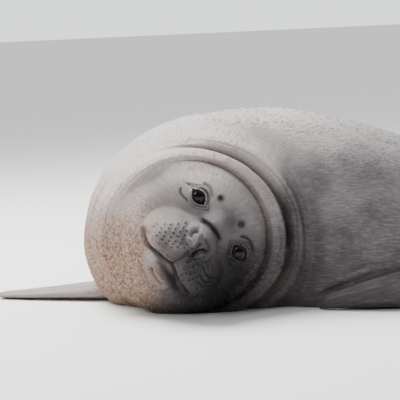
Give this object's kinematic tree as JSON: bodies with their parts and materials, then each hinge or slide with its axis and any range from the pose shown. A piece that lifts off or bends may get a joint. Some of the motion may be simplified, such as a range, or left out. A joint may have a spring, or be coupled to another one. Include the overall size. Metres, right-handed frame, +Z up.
{
  "type": "elephant seal",
  "caption": "Life-size weaned elephant seal lying on its belly, head bent round and resting on one cheek.",
  "frame": {"origin": "middle of the chest's resting face, on the floor", "axes": "+X from the chest to the tail, +Z up, and the face looks along -Y"},
  "size_m": [1.7534, 0.5727, 0.3579],
  "materials": {
    "hide": "satin",
    "eye": "gloss"
  },
  "bodies": {
    "root": {"head": "hide", "eye_right": "eye", "eye_left": "eye", "neck": "hide", "chest": "hide", "belly": "hide", "hips": "hide", "fore_flipper_right": "hide", "fore_flipper_left": "hide", "hind_flipper_right": "hide", "hind_flipper_left": "hide", "tail": "hide"}
  },
  "joints": []
}
